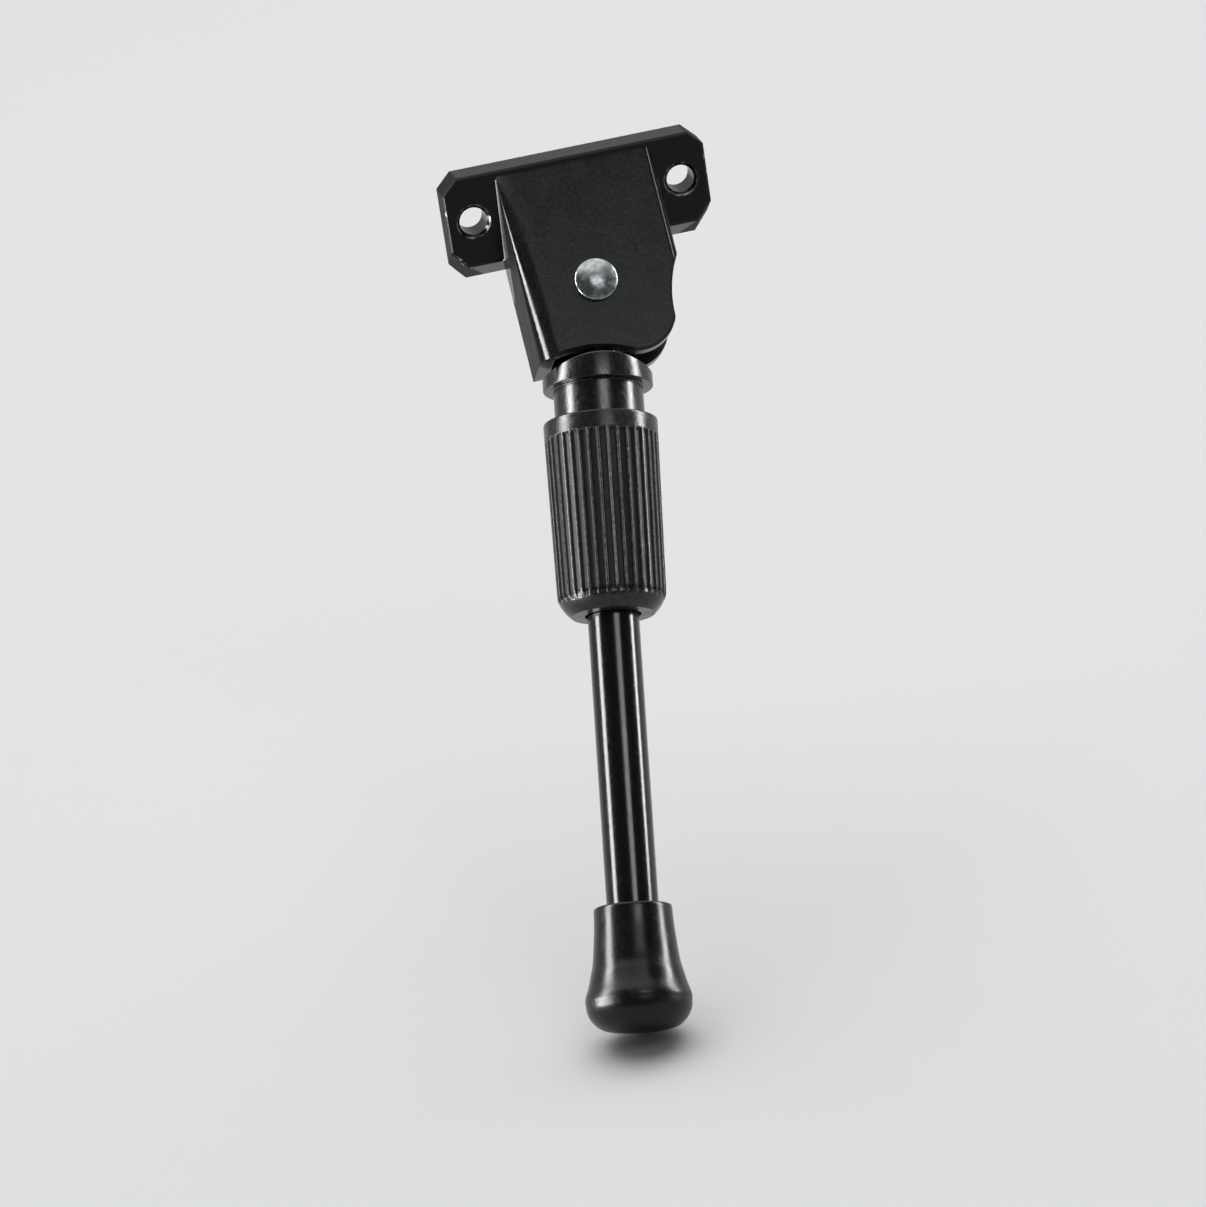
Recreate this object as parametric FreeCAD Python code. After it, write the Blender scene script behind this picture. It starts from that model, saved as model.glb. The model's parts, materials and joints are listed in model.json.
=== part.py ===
import FreeCAD, Part
import math
import os
from FreeCAD import Vector

# Electric scooter kickstand, in millimetres.
# Row frame: origin midway between the two bolt holes on the rear mounting face,
# +X along the hole line towards the stow side, +Z up, the front faces -Y.
# Clevis frame: origin at the pivot, the front plate stands upright and faces -Y.
# Leg frame: origin at the pivot, the rod hangs straight down along -Z.

# Bracket sheet and mounting ears
SHEET = 3.0
EAR_SPAN = 52.9
EAR_TOP = 9.25
EAR_BOTTOM = 9.0
EAR_CORNER = 3.0
HOLE_EDGE = 5.45
HOLE_DIAMETER = 5.5
HOLE_RIM = 0.6
EAR_EDGE = 0.4

# Wedge-shaped hat of the front shell
LEAN_ANGLE = 33.4
LEAN_LINE_DROP = 1.15
HAT_LEFT = 15.4
HAT_RIGHT = 16.0
LEFT_BEND_WIDTH = 4.4
LEFT_BEND_DEPTH = 4.2
LEFT_BEND_TOP_DEPTH = 0.02
RIGHT_BEND_RADIUS = 1.6
BEND_INNER_RADIUS = 0.6
CREASE_WIDTH = 0.8
CREASE_TOP_WIDTH = 0.2
CREASE_TOP_DROP = 0.5
BACK_BEND_RADIUS = 2.0
LEFT_WALL_REACH = 13.3
RIGHT_WALL_END = 4.8

# Pivot
PIVOT_DROP = 24.5
PIVOT_OFFSET = -1.15
RIVET_DIAMETER = 6.0
RIVET_HEAD_DIAMETER = 8.5
RIVET_HEAD_RIM = 0.5
RIVET_HEAD_HEIGHT = 2.1
RIVET_TAIL_HEIGHT = 1.6
RIVET_TAIL_EDGE = 0.9
EYE_DIAMETER = 14.0
EYE_THICKNESS = 9.8
EYE_SIDE_CLEARANCE = 0.4
PIVOT_CLEARANCE = 0.05

# Cam profile of both plates, seen from the pivot along the leg
RAKE_ANGLE = 10.1
SWING_ANGLE = 85.0
CAM_RADIUS = 24.0
SEAT_REACH = 13.3
SEAT_LEFT_WIDTH = 9.0
SEAT_RIGHT_WIDTH = 7.0
STOW_REACH = 15.0
STOW_HALF_WIDTH = 6.3
LOBE_REACH = 17.6
LOBE_ANGLE = 44.0
CAM_CORNER_ROUND = 2.0
CAM_EDGE = 0.5

# Leg rod
ROD_DIAMETER = 10.0
ROD_REACH = 139.5
ROD_END_CHAMFER = 0.8
SLIDE_CLEARANCE = 0.15

# Cam collar
NOSE_REACH = 14.75
NOSE_RADIUS = 20.0
FLANGE_DIAMETER = 21.6
FLANGE_LOW = 19.8
FLANGE_EDGE = 0.3
NECK_DIAMETER = 17.6
SKIRT_REACH = 38.0
SPRING_POCKET_DIAMETER = 14.8
SPRING_POCKET_TOP = 24.0

# Compression spring
SPRING_WIRE = 1.8
SPRING_MEAN_DIAMETER = 12.4
SPRING_PITCH = 5.2
SPRING_TOP_GAP = 0.3
SPRING_TURN_STEPS = 10
SPRING_WIRE_SIDES = 6

# Grip sleeve
SLEEVE_TOP = 26.5
SLEEVE_TOP_DIAMETER = 22.4
SLEEVE_SHOULDER = 61.3
SLEEVE_SHOULDER_DIAMETER = 21.2
SLEEVE_END_LENGTH = 3.8
SLEEVE_END_DIAMETER = 16.2
SLEEVE_END_BULGE = 0.35
SLEEVE_END_BANDS = 2
SLEEVE_EDGE = 0.5
SLEEVE_SKIRT_CLEARANCE = 0.2
SLEEVE_FLOOR_THICKNESS = 2.4
SLEEVE_ROD_CLEARANCE = 0.05
SLEEVE_MOUTH_DIAMETER = 11.0
SLEEVE_MOUTH_DEPTH = 1.0
GROOVE_COUNT = 36
GROOVE_WIDTH = 1.25
GROOVE_DEPTH = 0.55
GROOVE_TOP_MARGIN = 3.4
GROOVE_RUN_OUT = 0.6

# Spring seat washer and retaining ring
WASHER_THICKNESS = 1.2
WASHER_CLEARANCE = 0.2
RING_THICKNESS = 1.2
RING_DIAMETER = 13.0
RING_SEAT_GAP = 0.1
RING_SPLIT = 3.0
ROD_GROOVE_DEPTH = 0.7

# Rubber foot
FOOT_SOLE_THICKNESS = 6.3
FOOT_HEIGHT = 23.4
FOOT_TOP_DIAMETER = 15.1
FOOT_WAIST_DIAMETER = 16.5
FOOT_WAIST_SHARE = 0.5
FOOT_RIM_HEIGHT = 4.8
FOOT_RIM_DIAMETER = 20.7
FOOT_SOLE_DIAMETER = 13.6
FOOT_TOP_EDGE = 0.3
FOOT_FLARE_BANDS = 3
FOOT_CORNER_BANDS = 2
FOOT_FIT_CLEARANCE = 0.05

# Sizes that follow from those above
EAR_DEPTH = 2 * SHEET
HOLE_SPACING = EAR_SPAN - 2 * HOLE_EDGE
CLEVIS_GAP = EYE_THICKNESS + 2 * EYE_SIDE_CLEARANCE
PLATE_FRONT = CLEVIS_GAP / 2 + SHEET
PLATE_INNER = CLEVIS_GAP / 2
LEAN_LINE = EAR_TOP - LEAN_LINE_DROP
LEAN = math.radians(LEAN_ANGLE)
RAKE = math.radians(RAKE_ANGLE)
PIVOT = Vector(
    PIVOT_OFFSET,
    -EAR_DEPTH - PIVOT_DROP * math.sin(LEAN) + PLATE_FRONT * math.cos(LEAN),
    LEAN_LINE - PIVOT_DROP * math.cos(LEAN) - PLATE_FRONT * math.sin(LEAN),
)
EAR_FOOT = (-EAR_DEPTH - PIVOT.y) * math.sin(LEAN) + (-EAR_BOTTOM - PIVOT.z) * math.cos(LEAN)
LEFT_WALL = -HAT_LEFT - PIVOT_OFFSET
RIGHT_WALL = HAT_RIGHT - PIVOT_OFFSET
PIVOT_BORE = RIVET_DIAMETER / 2 + PIVOT_CLEARANCE
ROD_RADIUS = ROD_DIAMETER / 2
ROD_BORE = ROD_RADIUS + SLIDE_CLEARANCE
SLEEVE_BORE = NECK_DIAMETER / 2 + SLEEVE_SKIRT_CLEARANCE
SLEEVE_END = SLEEVE_SHOULDER + SLEEVE_END_LENGTH
SLEEVE_FLOOR = SLEEVE_END - SLEEVE_FLOOR_THICKNESS
RING_TOP = SLEEVE_FLOOR - RING_SEAT_GAP - RING_THICKNESS
WASHER_TOP = RING_TOP - WASHER_THICKNESS
ROD_GROOVE_RADIUS = ROD_RADIUS - ROD_GROOVE_DEPTH
FOOT_LOW = ROD_REACH + FOOT_SOLE_THICKNESS
FOOT_TOP = FOOT_LOW - FOOT_HEIGHT
FOOT_RIM = FOOT_LOW - FOOT_RIM_HEIGHT
FAR = 2 * EAR_SPAN
OVER = 1.0
ROUND_TOLERANCE = 0.01

ORIGIN = Vector(0, 0, 0)
AXIS_X = Vector(1, 0, 0)
AXIS_Y = Vector(0, 1, 0)
AXIS_Z = Vector(0, 0, 1)


def lean(shape):
    """Place a shape from the clevis frame in the row frame."""
    placed = shape.copy()
    placed.rotate(ORIGIN, AXIS_X, -LEAN_ANGLE)
    placed.translate(PIVOT)
    return placed


def hang(shape):
    """Place a shape from the leg frame in the row frame."""
    raked = shape.copy()
    raked.rotate(ORIGIN, AXIS_Y, RAKE_ANGLE)
    return lean(raked)


def box(low, high):
    """Box between two corners."""
    size = high - low
    return Part.makeBox(size.x, size.y, size.z, low)


def prism(edges, front, back):
    """Solid along Y from a closed run of edges drawn at y = 0."""
    face = Part.Face(Part.Wire(edges))
    face.translate(Vector(0, front, 0))
    return face.extrude(Vector(0, back - front, 0))


def polygon(points):
    """Closed run of straight edges through (x, z) points."""
    corners = [Vector(x, 0, z) for x, z in points]
    return [Part.makeLine(a, b) for a, b in zip(corners, corners[1:] + corners[:1])]


def line(a, b):
    return Part.makeLine(a, b)


def arc(a, through, b):
    return Part.Arc(a, through, b).toShape()


def banded(curve, bands):
    """Straight edges that follow a curved edge."""
    points = curve.discretize(bands + 1)
    return [line(a, b) for a, b in zip(points, points[1:])]


def cylinder(radius, top, low):
    """Cylinder round the rod between two distances from the pivot."""
    return Part.makeCylinder(radius, low - top, Vector(0, 0, -low))


def turned(edges):
    """Solid of revolution round the rod from a closed run of edges drawn at y = 0."""
    return Part.Face(Part.Wire(edges)).revolve(ORIGIN, AXIS_Z, 360)


def cross_cylinder(radius, front, back):
    """Cylinder along the rivet between two places on Y."""
    return Part.makeCylinder(radius, back - front, Vector(0, front, 0), AXIS_Y)


def edges_at(shape, chosen):
    """Edges of a shape whose every end point and centre satisfy a test."""
    found = []
    for edge in shape.Edges:
        points = [vertex.Point for vertex in edge.Vertexes] + [edge.CenterOfMass]
        if all(chosen(point) for point in points):
            found.append(edge)
    return found


def circles_at(shape, radius, depth):
    """Round edges of a turned shape at a radius and a distance from the pivot."""

    def on_circle(point):
        away = abs(math.hypot(point.x, point.y) - radius)
        return away < ROUND_TOLERANCE and abs(point.z + depth) < ROUND_TOLERANCE

    found = []
    for edge in shape.Edges:
        if all(on_circle(vertex.Point) for vertex in edge.Vertexes):
            found.append(edge)
    return found


def cam_point(angle, radial, along):
    """Point of the cam profile, given in the direction of the rod swung out by an angle."""
    turn = math.radians(angle) - RAKE
    outward = Vector(math.sin(turn), 0, -math.cos(turn))
    onward = Vector(math.cos(turn), 0, math.sin(turn))
    return outward * radial + onward * along


def cam_drop(along):
    """How far an arc of the cam falls back at a distance from its middle."""
    return CAM_RADIUS - math.sqrt(CAM_RADIUS ** 2 - along ** 2)


def plate_outline(front, back, side_room):
    """Block with the outline of both plates: wall sides, rest seat, lobe and stow seat."""
    left = LEFT_WALL - side_room
    right = RIGHT_WALL + side_room
    top_left = Vector(left, 0, FAR)
    wall_foot = Vector(left, 0, -LEFT_WALL_REACH)
    seat_left = cam_point(0, SEAT_REACH + cam_drop(SEAT_LEFT_WIDTH), -SEAT_LEFT_WIDTH)
    seat_middle = cam_point(0, SEAT_REACH, 0)
    seat_right = cam_point(0, SEAT_REACH + cam_drop(SEAT_RIGHT_WIDTH), SEAT_RIGHT_WIDTH)
    lobe_tip = cam_point(LOBE_ANGLE, LOBE_REACH, 0)
    stow_drop = STOW_REACH + cam_drop(STOW_HALF_WIDTH)
    stow_low = cam_point(SWING_ANGLE, stow_drop, -STOW_HALF_WIDTH)
    stow_middle = cam_point(SWING_ANGLE, STOW_REACH, 0)
    stow_high = cam_point(SWING_ANGLE, stow_drop, STOW_HALF_WIDTH)
    wall_end = Vector(right, 0, RIGHT_WALL_END)
    top_right = Vector(right, 0, FAR)
    block = prism(
        [
            line(top_left, wall_foot),
            line(wall_foot, seat_left),
            arc(seat_left, seat_middle, seat_right),
            arc(seat_right, lobe_tip, stow_low),
            arc(stow_low, stow_middle, stow_high),
            line(stow_high, wall_end),
            line(wall_end, top_right),
            line(top_right, top_left),
        ],
        front,
        back,
    )
    corners = []
    for corner in (seat_right, stow_low):
        corners += edges_at(block, lambda p, c=corner: math.hypot(p.x - c.x, p.z - c.z) < SLIDE_CLEARANCE)
    return block.makeFillet(CAM_CORNER_ROUND, corners)


def ear_block(front, back):
    """Block with the outline of the ears: top cut square to the ears, foot cut along the pivot's axis."""
    half = EAR_SPAN / 2
    corner = half - EAR_CORNER
    square_top = prism(
        polygon(
            [
                (-half, -FAR),
                (half, -FAR),
                (half, EAR_TOP - EAR_CORNER),
                (corner, EAR_TOP),
                (-corner, EAR_TOP),
                (-half, EAR_TOP - EAR_CORNER),
            ]
        ),
        front,
        back,
    )
    left = -half - PIVOT_OFFSET
    right = half - PIVOT_OFFSET
    slanted_foot = prism(
        polygon(
            [
                (left - OVER, FAR),
                (left - OVER, EAR_FOOT + EAR_CORNER + OVER),
                (left + EAR_CORNER, EAR_FOOT),
                (right - EAR_CORNER, EAR_FOOT),
                (right + OVER, EAR_FOOT + EAR_CORNER + OVER),
                (right + OVER, FAR),
            ]
        ),
        -FAR,
        FAR,
    )
    return square_top.common(lean(slanted_foot))


def plate_holes():
    """Cutters for the rivet's hole and the two bolt holes, which have a broken front rim."""
    radius = HOLE_DIAMETER / 2
    cutters = [lean(cross_cylinder(PIVOT_BORE, -FAR, FAR))]
    for side in (-1, 1):
        centre = Vector(side * HOLE_SPACING / 2, -EAR_DEPTH, 0)
        cutters.append(Part.makeCylinder(radius, EAR_DEPTH + OVER, centre, AXIS_Y))
        cutters.append(Part.makeCone(radius + HOLE_RIM, radius, HOLE_RIM, centre, AXIS_Y))
    return Part.makeCompound(cutters)


def hat_outside():
    """Block inside the hat's outer faces: an even right bend and a left bend that runs out at the top."""
    low = Vector(LEFT_WALL, -PLATE_FRONT, -LOBE_REACH - OVER)
    block = box(low, Vector(RIGHT_WALL, FAR, PIVOT_DROP + EAR_DEPTH))
    right = edges_at(block, lambda p: abs(p.y + PLATE_FRONT) < OVER and abs(p.x - RIGHT_WALL) < OVER)
    block = block.makeFillet(RIGHT_BEND_RADIUS, right)
    top_section = bend_section(LEFT_BEND_TOP_DEPTH, PIVOT_DROP)
    low_section = bend_section(LEFT_BEND_DEPTH, low.z)
    return block.cut(Part.makeLoft([top_section, low_section], True, True))


def bend_section(depth, level):
    """What the left bend takes off the hat's corner at one level."""
    outside = LEFT_WALL - OVER
    ahead = -PLATE_FRONT - OVER
    tangent = LEFT_WALL + LEFT_BEND_WIDTH
    on_wall = Vector(LEFT_WALL, depth - PLATE_FRONT, level)
    on_plate = Vector(tangent, -PLATE_FRONT, level)
    curve = Part.BezierCurve()
    curve.setPoles([on_plate, Vector(LEFT_WALL, -PLATE_FRONT, level), on_wall])
    curve.setWeight(2, math.sqrt(0.5))
    corners = [
        on_wall,
        Vector(outside, on_wall.y, level),
        Vector(outside, ahead, level),
        Vector(tangent, ahead, level),
        on_plate,
    ]
    return Part.Wire([curve.toShape()] + [line(a, b) for a, b in zip(corners, corners[1:])])


def hat_inside():
    """Block that hollows the hat and opens the ears behind it."""
    left = LEFT_WALL + SHEET
    right = RIGHT_WALL - SHEET
    block = box(Vector(left, -PLATE_INNER, -FAR), Vector(right, FAR, FAR))
    bends = edges_at(block, lambda p: abs(p.y + PLATE_INNER) < OVER and min(p.x - left, right - p.x) < OVER)
    return block.makeFillet(BEND_INNER_RADIUS, bends)


def back_sheet():
    """Bent sheet of the back plate before its outline is cut."""
    down = Vector(0, -math.sin(LEAN), -math.cos(LEAN))
    back = Vector(0, math.cos(LEAN), -math.sin(LEAN))
    across = Vector(-FAR, 0, 0)
    front_face = Vector(0, PIVOT.y, PIVOT.z) + back * PLATE_INNER
    rear_face = Vector(0, PIVOT.y, PIVOT.z) + back * PLATE_FRONT
    front_bend = front_face + down * ((front_face.y + SHEET) / math.sin(LEAN)) + across
    rear_bend = rear_face + down * (rear_face.y / math.sin(LEAN)) + across
    corners = [
        Vector(-FAR, 0, EAR_TOP),
        Vector(-FAR, -SHEET, EAR_TOP),
        front_bend,
        front_bend + down * FAR,
        rear_bend + down * FAR,
        rear_bend,
    ]
    sheet = Part.Face(Part.makePolygon(corners + corners[:1])).extrude(Vector(2 * FAR, 0, 0))
    for bend, radius in ((front_bend, BACK_BEND_RADIUS), (rear_bend, BACK_BEND_RADIUS + SHEET)):
        crease = edges_at(sheet, lambda p: math.hypot(p.y - bend.y, p.z - bend.z) < ROUND_TOLERANCE)
        sheet = sheet.makeFillet(radius, crease)
    return sheet


def make_front_shell():
    """Pressed shell: ears in the mounting plane, hat with a full left wall and a short right wall."""
    outline = plate_outline(-PLATE_FRONT, PLATE_INNER, OVER)
    cam = edges_at(outline, on_cam_edge)
    hat = hat_outside().common(outline.makeChamfer(CAM_EDGE, cam))
    hat = hat.cut(box(Vector(0, -PLATE_INNER, -FAR), Vector(FAR, FAR, RIGHT_WALL_END)))
    in_front = box(Vector(-FAR, -FAR, -FAR), Vector(FAR, -SHEET, EAR_TOP))
    shell = ear_block(-EAR_DEPTH, -SHEET).fuse(lean(hat).common(in_front).cut(back_sheet()))
    shell = shell.cut(lean(hat_inside()))
    shell = shell.fuse(lean(left_crease())).removeSplitter()
    return broken_ears(shell).cut(plate_holes())


def on_cam_edge(point):
    """Whether a point lies on the front edge of the cam."""
    return abs(point.y + PLATE_FRONT) < ROUND_TOLERANCE and point.z < RIGHT_WALL_END + OVER


def left_crease():
    """Filling between the left ear and the hat's wall, wider towards the ear's foot."""
    top = crease_section(CREASE_TOP_WIDTH, PIVOT_DROP - CREASE_TOP_DROP)
    foot = crease_section(CREASE_WIDTH, EAR_FOOT)
    return Part.makeLoft([top, foot], True, True)


def crease_section(width, level):
    """Outline of the filling at one level, which reaches into the ear and the wall."""
    ear = (PIVOT_DROP - level) * math.tan(LEAN) - PLATE_FRONT
    inner = LEFT_WALL + OVER
    corners = [
        Vector(LEFT_WALL - width, ear, level),
        Vector(LEFT_WALL, ear - width, level),
        Vector(inner, ear - width, level),
        Vector(inner, ear + OVER, level),
        Vector(LEFT_WALL - width, ear + OVER, level),
    ]
    return Part.makePolygon(corners + corners[:1])


def broken_ears(shell):
    """Shell with the front edges of its ears broken."""
    left = -HAT_LEFT - CREASE_WIDTH - ROUND_TOLERANCE
    right = HAT_RIGHT + ROUND_TOLERANCE
    rims = []
    for edge in edges_at(shell, on_ears):
        middle = edge.CenterOfMass
        beside_hat = middle.x < left or middle.x > right
        if beside_hat or abs(middle.z - EAR_TOP) < ROUND_TOLERANCE:
            rims.append(edge)
    return shell.Solids[0].makeChamfer(EAR_EDGE, rims)


def on_ears(point):
    """Whether a point lies on the ears' front face."""
    return abs(point.y + EAR_DEPTH) < ROUND_TOLERANCE


def make_back_plate():
    """Bent plate behind the shell: ears in the mounting plane, lower part parallel to the front plate."""
    outline = ear_block(-EAR_DEPTH, OVER).fuse(lean(plate_outline(-FAR, FAR, 0)))
    return back_sheet().common(outline).cut(plate_holes())


def make_pivot_rivet():
    """Rivet with a domed front head on a thin rim and a flat formed tail behind."""
    radius = RIVET_HEAD_DIAMETER / 2
    shank = RIVET_DIAMETER / 2
    rim = -PLATE_FRONT - RIVET_HEAD_RIM
    crown = -PLATE_FRONT - RIVET_HEAD_HEIGHT
    rise = rim - crown
    ball = (radius ** 2 + rise ** 2) / (2 * rise)
    shoulder = radius / 2
    shoulder_rise = crown + ball - math.sqrt(ball ** 2 - shoulder ** 2)
    tail = PLATE_FRONT + RIVET_TAIL_HEIGHT
    edges = [
        arc(Vector(0, crown, 0), Vector(shoulder, shoulder_rise, 0), Vector(radius, rim, 0)),
        line(Vector(radius, rim, 0), Vector(radius, -PLATE_FRONT, 0)),
        line(Vector(radius, -PLATE_FRONT, 0), Vector(shank, -PLATE_FRONT, 0)),
        line(Vector(shank, -PLATE_FRONT, 0), Vector(shank, PLATE_FRONT, 0)),
        line(Vector(shank, PLATE_FRONT, 0), Vector(radius, PLATE_FRONT, 0)),
        line(Vector(radius, PLATE_FRONT, 0), Vector(radius, tail - RIVET_TAIL_EDGE, 0)),
        line(Vector(radius, tail - RIVET_TAIL_EDGE, 0), Vector(radius - RIVET_TAIL_EDGE, tail, 0)),
        line(Vector(radius - RIVET_TAIL_EDGE, tail, 0), Vector(0, tail, 0)),
        line(Vector(0, tail, 0), Vector(0, crown, 0)),
    ]
    return Part.Face(Part.Wire(edges)).revolve(ORIGIN, AXIS_Y, 360)


def make_leg_rod():
    """Round rod with a forged eye at the pivot and a groove for the retaining ring."""
    half = EYE_THICKNESS / 2
    rod = cylinder(ROD_RADIUS, 0, ROD_REACH)
    rod = rod.makeChamfer(ROD_END_CHAMFER, edges_at(rod, lambda p: abs(p.z + ROD_REACH) < ROD_END_CHAMFER))
    flats = box(Vector(-FAR, -half, -FAR * 2), Vector(FAR, half, FAR))
    eye = cross_cylinder(EYE_DIAMETER / 2, -half, half)
    shank = rod.cut(box(Vector(-FAR, -FAR, -EYE_DIAMETER / 2), Vector(FAR, FAR, FAR)))
    neck = rod.common(flats).cut(box(Vector(-FAR, -FAR, -FAR * 2), Vector(FAR, FAR, -EYE_DIAMETER / 2)))
    groove = cylinder(2 * ROD_RADIUS, RING_TOP, RING_TOP + RING_THICKNESS)
    groove = groove.cut(cylinder(ROD_GROOVE_RADIUS, 0, ROD_REACH))
    leg = shank.fuse([neck, eye]).removeSplitter()
    leg = leg.cut(cross_cylinder(PIVOT_BORE, -FAR, FAR))
    return leg.cut(groove)


def make_cam_collar():
    """Collar that slides on the rod: arched nose along the rivet's axis, flange, neck and spring pocket."""
    flange_radius = FLANGE_DIAMETER / 2
    flange = cylinder(flange_radius, NOSE_REACH, FLANGE_LOW)
    nose_axis = Vector(0, -FAR, -NOSE_REACH - NOSE_RADIUS)
    flange = flange.common(Part.makeCylinder(NOSE_RADIUS, 2 * FAR, nose_axis, AXIS_Y))
    flange = flange.makeChamfer(FLANGE_EDGE, circles_at(flange, flange_radius, FLANGE_LOW))
    collar = flange.fuse(cylinder(NECK_DIAMETER / 2, FLANGE_LOW, SKIRT_REACH))
    collar = collar.cut(cylinder(ROD_BORE, 0, FAR))
    return collar.cut(cylinder(SPRING_POCKET_DIAMETER / 2, SPRING_POCKET_TOP, FAR)).removeSplitter()


def make_compression_spring():
    """Coil spring with ends ground flat, between the collar's pocket and the washer."""
    top = SPRING_POCKET_TOP + SPRING_TOP_GAP
    steps = math.ceil((WASHER_TOP - top) / SPRING_PITCH * SPRING_TURN_STEPS)
    sections = [spring_section(step / SPRING_TURN_STEPS) for step in range(steps + 1)]
    coil = Part.makeLoft(sections, True, True)
    return coil.common(cylinder(SPRING_MEAN_DIAMETER, top, WASHER_TOP))


def spring_section(turns):
    """Outline of the wire after a number of turns from the washer."""
    turn = 2 * math.pi * turns
    corners = []
    for side in range(SPRING_WIRE_SIDES + 1):
        angle = 2 * math.pi * side / SPRING_WIRE_SIDES
        reach = SPRING_MEAN_DIAMETER / 2 + SPRING_WIRE / 2 * math.cos(angle)
        rise = SPRING_PITCH * turns + SPRING_WIRE / 2 * math.sin(angle) - WASHER_TOP
        corners.append(Vector(reach * math.cos(turn), reach * math.sin(turn), rise))
    return Part.makePolygon(corners)


def make_grip_sleeve():
    """Tapered plastic sleeve with long grooves, a rounded end and a floor that closes round the rod."""
    top = SLEEVE_TOP_DIAMETER / 2
    mouth = SLEEVE_MOUTH_DIAMETER / 2
    snug = ROD_RADIUS + SLEEVE_ROD_CLEARANCE
    shoulder_point = Vector(SLEEVE_SHOULDER_DIAMETER / 2, 0, -SLEEVE_SHOULDER)
    end_point = Vector(SLEEVE_END_DIAMETER / 2, 0, -SLEEVE_END)
    slope = (shoulder_point - end_point).normalize()
    bulge = (shoulder_point + end_point) / 2 + Vector(slope.z, 0, -slope.x) * SLEEVE_END_BULGE
    inside = [
        end_point,
        Vector(mouth, 0, -SLEEVE_END),
        Vector(mouth, 0, SLEEVE_MOUTH_DEPTH - SLEEVE_END),
        Vector(snug, 0, SLEEVE_MOUTH_DEPTH - SLEEVE_END),
        Vector(snug, 0, -SLEEVE_FLOOR),
        Vector(SLEEVE_BORE, 0, -SLEEVE_FLOOR),
        Vector(SLEEVE_BORE, 0, -SLEEVE_TOP),
        Vector(top, 0, -SLEEVE_TOP),
        shoulder_point,
    ]
    rounding = banded(arc(shoulder_point, bulge, end_point), SLEEVE_END_BANDS)
    sleeve = turned(rounding + [line(a, b) for a, b in zip(inside, inside[1:])])
    sleeve = sleeve.makeChamfer(SLEEVE_EDGE, circles_at(sleeve, top, SLEEVE_TOP))
    return sleeve.cut(Part.makeCompound(sleeve_grooves()))


def sleeve_grooves():
    """Cutters for the grooves, laid along the sleeve's taper."""
    top = SLEEVE_TOP_DIAMETER / 2
    shoulder = SLEEVE_SHOULDER_DIAMETER / 2
    taper = math.degrees(math.atan((top - shoulder) / (SLEEVE_SHOULDER - SLEEVE_TOP)))
    length = SLEEVE_SHOULDER - SLEEVE_TOP - GROOVE_TOP_MARGIN + GROOVE_RUN_OUT
    cutters = []
    for index in range(GROOVE_COUNT):
        cutter = Part.makeBox(2 * GROOVE_DEPTH, GROOVE_WIDTH, length)
        cutter.translate(Vector(-GROOVE_DEPTH, -GROOVE_WIDTH / 2, -length - GROOVE_TOP_MARGIN))
        cutter.rotate(ORIGIN, AXIS_Y, taper)
        cutter.translate(Vector(top, 0, -SLEEVE_TOP))
        cutter.rotate(ORIGIN, AXIS_Z, index * 360 / GROOVE_COUNT)
        cutters.append(cutter)
    return cutters


def make_spring_seat_washer():
    """Flat washer that carries the spring on the retaining ring."""
    outside = cylinder(SLEEVE_BORE - WASHER_CLEARANCE, WASHER_TOP, RING_TOP)
    return outside.cut(cylinder(ROD_BORE, 0, FAR))


def make_retaining_ring():
    """Split ring in the rod's groove, between the washer and the sleeve's floor."""
    ring = cylinder(RING_DIAMETER / 2, RING_TOP, RING_TOP + RING_THICKNESS)
    ring = ring.cut(cylinder(ROD_GROOVE_RADIUS, 0, FAR))
    split = box(Vector(-RING_SPLIT / 2, 0, -FAR), Vector(RING_SPLIT / 2, FAR, 0))
    return ring.cut(split)


def make_rubber_foot():
    """Flared foot pushed over the end of the rod."""
    top = FOOT_TOP_DIAMETER / 2
    waist = FOOT_WAIST_DIAMETER / 2
    rim = FOOT_RIM_DIAMETER / 2
    sole = FOOT_SOLE_DIAMETER / 2
    bore = ROD_RADIUS + FOOT_FIT_CLEARANCE
    waist_depth = FOOT_TOP + FOOT_WAIST_SHARE * (FOOT_RIM - FOOT_TOP)
    reach = rim - sole
    height = FOOT_LOW - FOOT_RIM
    corner = (reach ** 2 + height ** 2) / (2 * height)
    corner_middle = Vector(sole + corner * math.sqrt(0.5), 0, corner * (1 - math.sqrt(0.5)) - FOOT_LOW)
    flare = arc(Vector(top, 0, -FOOT_TOP), Vector(waist, 0, -waist_depth), Vector(rim, 0, -FOOT_RIM))
    rounding = arc(Vector(rim, 0, -FOOT_RIM), corner_middle, Vector(sole, 0, -FOOT_LOW))
    edges = [
        line(Vector(bore, 0, -FOOT_TOP), Vector(top, 0, -FOOT_TOP)),
        *banded(flare, FOOT_FLARE_BANDS),
        *banded(rounding, FOOT_CORNER_BANDS),
        line(Vector(sole, 0, -FOOT_LOW), Vector(0, 0, -FOOT_LOW)),
        line(Vector(0, 0, -FOOT_LOW), Vector(0, 0, -ROD_REACH)),
        line(Vector(0, 0, -ROD_REACH), Vector(bore, 0, -ROD_REACH)),
        line(Vector(bore, 0, -ROD_REACH), Vector(bore, 0, -FOOT_TOP)),
    ]
    foot = turned(edges)
    return foot.makeChamfer(FOOT_TOP_EDGE, circles_at(foot, top, FOOT_TOP))


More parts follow.
